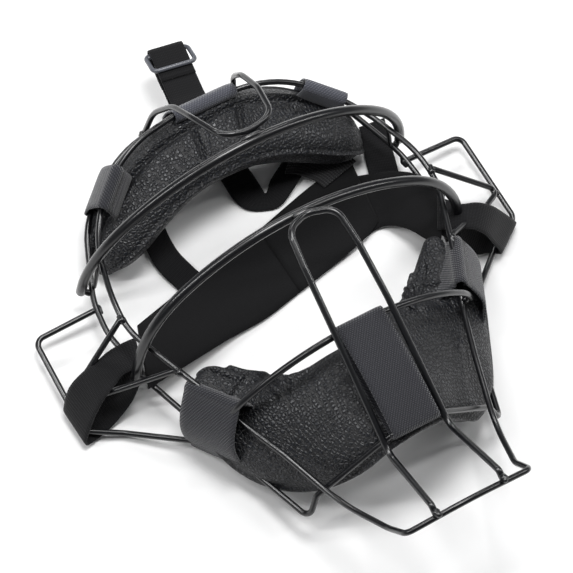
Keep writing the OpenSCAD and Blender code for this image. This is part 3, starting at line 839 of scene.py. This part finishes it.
def forehead_tab(label, side, shift, lap, bulge, material):
    """Tab round the two outline wires; it can sit further along them and lap over the pad."""
    mirror = np.array([side, 1, 1])
    front = TAB_FRONT + TAB_RUN * shift + unit(TAB_FRONT - TAB_REAR) * lap
    rear = TAB_REAR + TAB_RUN * shift
    tab("forehead_tab_" + label, front * mirror, rear * mirror, TAB_RUN * mirror,
        width=25, gap=2.2, material=material, bulge=bulge)


def chin_tab(label, side, slide, bulge):
    """Tab round the wires of a cheek and the end of the chin pad, moved by a slide of its own."""
    front, rear, run = (np.array(p) * [side, 1, 1] for p in CHIN_TAB)
    tab("chin_tab_" + label, front + slide, rear + slide, run,
        width=34, gap=2.4, material=TWILL, bulge=bulge)


TAB_RUN = unit([12.6, -10, -6.2])
TAB_FRONT, TAB_REAR = np.array([68, 27.5, 32.3]), np.array([69, 38.1, 16.2])
# Front and rear middles of the right chin tab's loop, and the run of the wires that it goes round
CHIN_TAB = ([76.9, -95.6, 6], [79.5, -105.2, -30.2], [-12.2, -23.3, 3.7])
forehead_tab("right", 1, shift=0.0, lap=1.0, bulge=(1.5, 1.5), material=HEATHER)
chin_tab("right", 1, slide=[1.8, 3.5, 1.7], bulge=(7, 17))
forehead_tab("left", -1, shift=-3.0, lap=4.5, bulge=(8, 1.5), material=TWILL)
chin_tab("left", -1, slide=[1.7, -3.2, 0.5], bulge=(14, 7))
tab("forehead_tab_center", [4, 47, 43.3], [4, 57.6, 26.8], [1, 0, 0],
    width=38, gap=2.2, material=HEATHER, bulge=(1, 1))
tab("chin_tab_center", [0, -118.5, 42.7], [0, -171.5, 19.5], [1, 0, 0],
    width=28, gap=2.1, material=TWILL, bulge=(1.5, 1.5))

# Straps in the row frame: [x, y, z, heading of the width, part of the width]
BAND_PATH = [
    [-90, 6, 18, 70, 0.81], [-67, 12, 11, 76, 0.84], [-37, 19, 4, 83, 0.89], [-15, 22, 1.7, 88, 0.93],
    [8, 27, 1.4, 92, 0.93], [38, 34, 1.4, 90, 0.96], [56, 36, 1.4, 84, 0.86], [74, 34, 3, 72, 0.72],
    [84, 24, 12, 65, 0.77], [90, 11, 19, 60, 0.84], [92, -1, 25.5, 54, 0.7]]
PANEL_PATH = [
    [8, 27, 2.2, 92, 0.93], [38, 34, 3.2, 90, 0.97], [55, 38, 3.6, 92, 0.95], [71.5, 43, 3.6, 82, 0.93]]
CROWN_LEFT = [
    [-40, 34, 1.4, 26, 0.82], [-43, 44, 1.8, 22, 0.8], [-45.8, 56, 2.2, 16, 0.8], [-45, 70, 2.2, 14, 0.78],
    [-42, 84, 3.5, 12, 0.78], [-38, 94, 5, 10, 0.78]]
CROWN_RIGHT = [
    [84, 38, 1.6, -20, 0.85], [88, 50, 3, -20, 0.85], [92, 62, 3, -12, 0.82], [95, 71, 4, -8, 0.8],
    [96.5, 76, 5, -5, 0.8]]
ELASTIC_PATH = [
    [64, 56, 5.2, 14, 1], [62, 61, 5.6, 14, 1], [57, 68, 6.4, 22, 1], [51, 74, 7, 35, 0.95],
    [44, 78, 6, 45, 0.85]]
FOLDED = [
    [11, 100, 3.4, -5, 0.9], [13, 86, 2, -3, 0.87], [13.5, 73, 1.6, 10, 0.89], [15, 66, 1.4, 22, 0.78],
    [19.5, 62.2, 1.4, 59, 0.54], [24.5, 61.3, 1.8, 104, 0.56], [32, 66, 2.6, 119, 0.68],
    [43, 72.5, 3.6, 127, 0.68], [51, 78, 4.2, 130, 0.75]]
SIDE_LEFT = [
    [-92, 8, 19.8, -105, 0.75], [-104, 8, 23.5, -88, 0.62], [-115, 4, 25, -88, 0.7],
    [-122.6, 1.2, 24.5, -95, 0.84], [-131.5, -2, 17, -84, 0.9], [-138, -8, 6.4, -87, 0.9],
    [-133, -7, 2.8, -86, 0.95], [-121, -4, 2.8, -84, 0.95], [-107, 0, 11, -90, 0.95],
    [-97, 4, 17.6, -100, 0.85]]
SIDE_RIGHT = [
    [92, 3, 25.5, -122, 0.85], [98, -6, 31.5, -122, 0.62], [105.5, -10, 33, -134, 0.66],
    [113, -14, 28, -135, 0.72], [120, -18, 17.5, -140, 0.8], [126.3, -21, 6, -145, 0.86],
    [122.5, -16, 2.4, -142, 0.9], [114, -14, 5, -140, 0.9], [106, -10, 12, -138, 0.88],
    [98, -5, 20, -130, 0.85]]
band = [ribbon(BAND_PATH, BAND_WIDTH, thick=1.6), ribbon(PANEL_PATH, BAND_WIDTH, thick=1.2)]
webbing("fabric_", "back_band", band, BAND, "band_fabric")
for node, stations in (("side_strap_left", SIDE_LEFT), ("side_strap_right", SIDE_RIGHT)):
    webbing("elastic_", node, [ribbon(stations, ELASTIC_WIDTH, SIDE_THICK, True)], SIDE, "elastic_webbing")
for node, stations in (("crown_strap_left", CROWN_LEFT), ("crown_strap_right", CROWN_RIGHT),
                       ("crown_strap_folded", FOLDED)):
    webbing("webbing_", node, [ribbon(stations, STRAP_WIDTH, STRAP_THICK)], PLAIN, "strap_webbing")
webbing("webbing_", "elastic_strap", [ribbon(ELASTIC_PATH, ELASTIC_WIDTH, STRAP_THICK)], ELASTIC,
        "elastic_webbing")

# ------------------------------------------------------------------ top strap and slider
# The strap's frame starts at the top wire: x across the strap, y along it, z off its upper face
STRAP_ROOT = np.array([2, 57.6, 26.8])
HEADING, RISE = math.radians(-10), math.radians(4)
STRAP_X = np.array([math.cos(HEADING), math.sin(HEADING), 0.0])
STRAP_Y = np.array([-math.sin(HEADING) * math.cos(RISE), math.cos(HEADING) * math.cos(RISE), math.sin(RISE)])
STRAP_Z = np.cross(STRAP_X, STRAP_Y)
ROOT_LOOP = 4.4      # radius of the strap's loop round the top wire
HALF_GAP = 2.5       # half the distance between the strap's two plies
SLIDER_Y = 41.0      # how far out the slider's bar is
FOLD_LOOP = 3.75     # radius of the free end's fold round that bar
FOLD_END = 21        # where both plies of the fold stop


def on_strap(points):
    """Points of the strap's frame as points of the row frame."""
    p = np.asarray(points, float)
    return row(STRAP_ROOT + p[..., :1] * STRAP_X + p[..., 1:2] * STRAP_Y + p[..., 2:3] * STRAP_Z)


def strap_ply(path):
    """Strap through (y, z) points of its frame."""
    curve = smooth_list([[0, y, z] for y, z in path], 3)
    return strip(on_strap(curve), turn_x(STRAP_X), STRAP_WIDTH, TOP_THICK)


def mirrored_ply(upper, turn):
    """Path along the upper ply, round the turn, and back along the lower one."""
    return upper + turn + [(y, -z) for y, z in reversed(upper)]


def top_strap():
    upper = [(33, HALF_GAP), (24, HALF_GAP), (16, HALF_GAP), (9, 2.6), (4.5, 3.6)]
    angles = [math.radians(a) for a in range(90, 271, 15)]
    turn = [(ROOT_LOOP * math.cos(a), ROOT_LOOP * math.sin(a)) for a in angles]
    webbing("webbing_", "top_strap", [strap_ply(mirrored_ply(upper, turn))], PLAIN, "strap_webbing")


def top_strap_fold():
    upper = [(y, FOLD_LOOP) for y in (FOLD_END, 30, SLIDER_Y)]
    angles = [math.radians(a) for a in range(75, -76, -15)]
    turn = [(SLIDER_Y + FOLD_LOOP * math.cos(a), FOLD_LOOP * math.sin(a)) for a in angles]
    webbing("webbing_", "top_strap_fold", [strap_ply(mirrored_ply(upper, turn))], PLAIN, "strap_webbing",
            "slider")


def slider_rim(width, start, end, high, corner, steps=6):
    """Closed path of the slider's rounded rim, which falls from a height at its start to 0 at its end."""
    cx, pts = width / 2 - corner, []
    for sx, far, first in ((1, True, 0), (-1, True, 90), (-1, False, 180), (1, False, 270)):
        cy = end - corner if far else start + corner
        for k in range(steps + 1):
            w = math.radians(first + 90 * k / steps)
            y = cy + corner * math.sin(w)
            pts.append([sx * cx + corner * math.cos(w), y, high * (end - y) / (end - start)])
    return np.array(pts)


def slider(sides=14):
    rim = slider_rim(width=24.6, start=27.2, end=42.2, high=5.8, corner=3.0)
    rim = tube(on_strap(rim), 1.25, True, sides)
    bar = tube(on_strap([[x, SLIDER_Y, 0.2] for x in np.linspace(-11.5, 11.5, 9)]), 1.2, False, sides)
    points, faces, _ = join_meshes([rim, bar])
    o = make_object("strap_slider_moulding", points, faces, PLASTIC)
    finish_piece(o, "slider", "slider_plastic", "strap_slider")


top_strap()
top_strap_fold()
slider()

# ------------------------------------------------------------------ stage and light
FLOOR = 3000.0          # half of its side
floor_mesh = bpy.data.meshes.new("floor")
corners = [(x * FLOOR * MM, y * FLOOR * MM, 0) for x, y in ((-1, -1), (1, -1), (1, 1), (-1, 1))]
floor_mesh.from_pydata(corners, [], [(0, 1, 2, 3)])
floor = bpy.data.objects.new("floor", floor_mesh)
COLLECTION.objects.link(floor)
floor_material, _, shader = new_material("pale_floor")
shader.inputs["Base Color"].default_value = (0.93, 0.93, 0.93, 1)
shader.inputs["Roughness"].default_value = 0.9
floor_mesh.materials.append(floor_material)

world = bpy.data.worlds.new("world")
bpy.context.scene.world = world
world.use_nodes = True
background = world.node_tree.nodes["Background"]
background.inputs["Color"].default_value = (0.98, 0.99, 1.0, 1)
background.inputs["Strength"].default_value = 0.12

AIM = Vector((0, 0, 0.03))      # in metres


def softbox(name, at, size, power):
    """Soft light at a place in metres, turned to the mask."""
    data = bpy.data.lights.new(name, "AREA")
    data.shape = "RECTANGLE"
    data.size, data.size_y = size
    data.energy = power
    o = bpy.data.objects.new(name, data)
    COLLECTION.objects.link(o)
    o.location = at
    o.rotation_euler = (AIM - Vector(at)).to_track_quat("-Z", "Y").to_euler()


softbox("overhead", (0.1, 0.25, 1.5), (0.55, 0.45), 14)
softbox("key_strip", (-0.9, 0.3, 1.2), (0.1, 1.2), 10)
softbox("back_strip", (0.3, 1.2, 1.0), (1.4, 0.1), 9)
softbox("fill_strip", (1.0, -0.2, 1.1), (0.1, 1.0), 6)
bpy.context.scene.view_settings.view_transform = "Standard"
